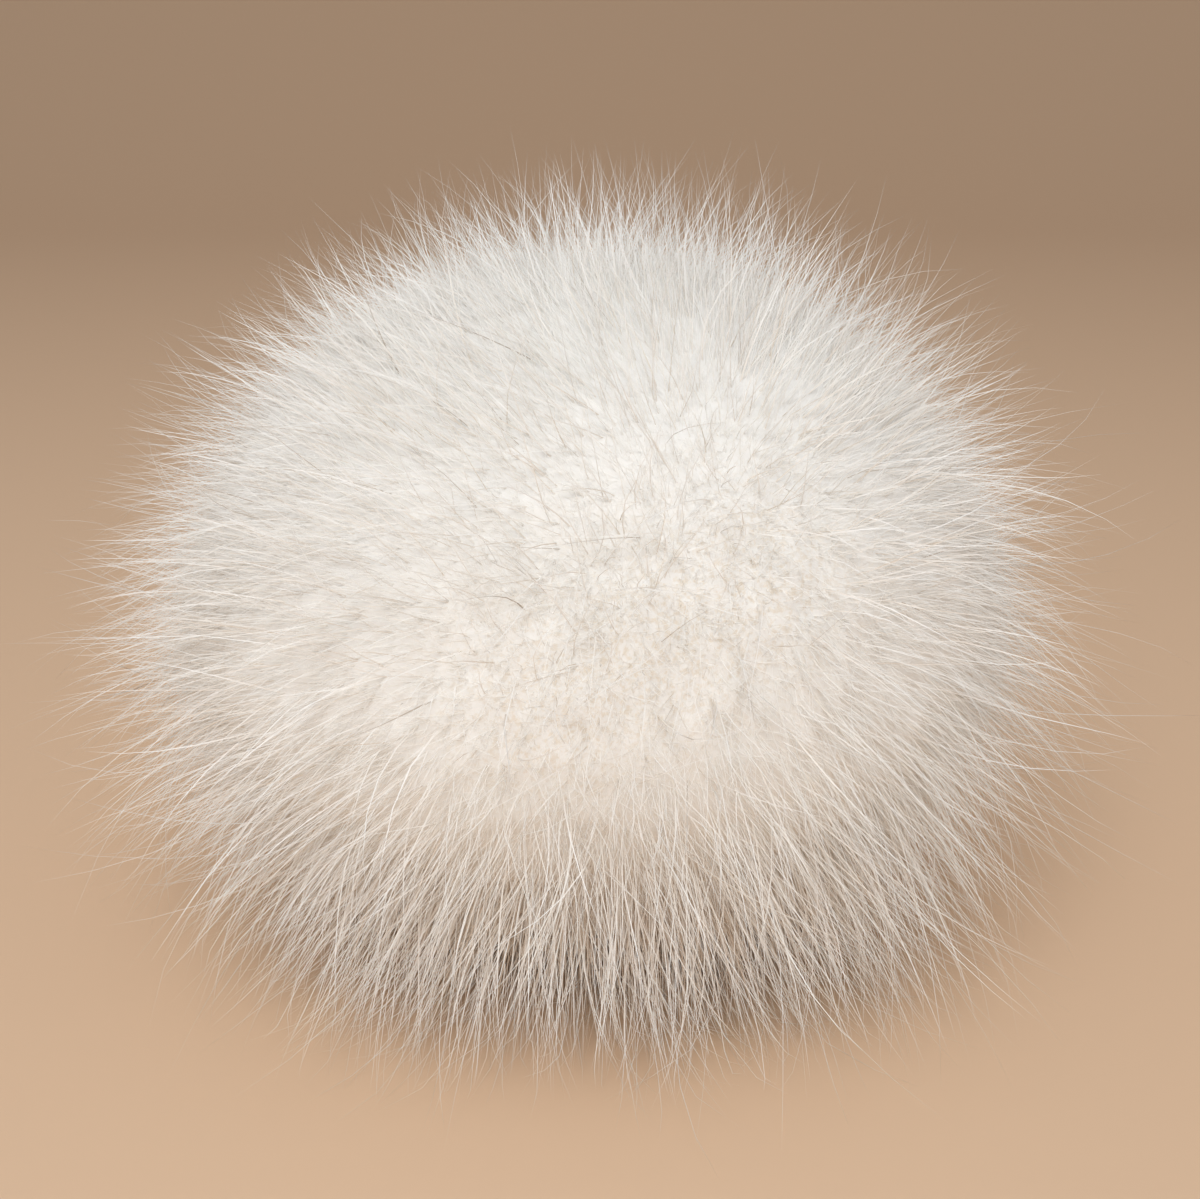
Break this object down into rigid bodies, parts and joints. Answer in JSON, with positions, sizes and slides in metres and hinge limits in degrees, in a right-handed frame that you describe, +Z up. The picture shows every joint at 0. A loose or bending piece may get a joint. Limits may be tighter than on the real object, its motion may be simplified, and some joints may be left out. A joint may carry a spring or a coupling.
{
  "type": "fur pom-pom",
  "caption": "Round ball of long white fur with soft underfur and pointed outer locks, flattened a little underneath so that it stands on its own.",
  "frame": {"origin": "middle of the flat spot that the ball rests on", "axes": "+Z up, at right angles to the flat spot, and -Y towards the front; the ball is round about Z"},
  "size_m": [0.1301, 0.1282, 0.1017],
  "materials": {
    "white_fur": "long soft fur, warm white, with creamy underfur in the partings"
  },
  "bodies": {
    "root": {"fur_ball": "white_fur"}
  },
  "joints": []
}
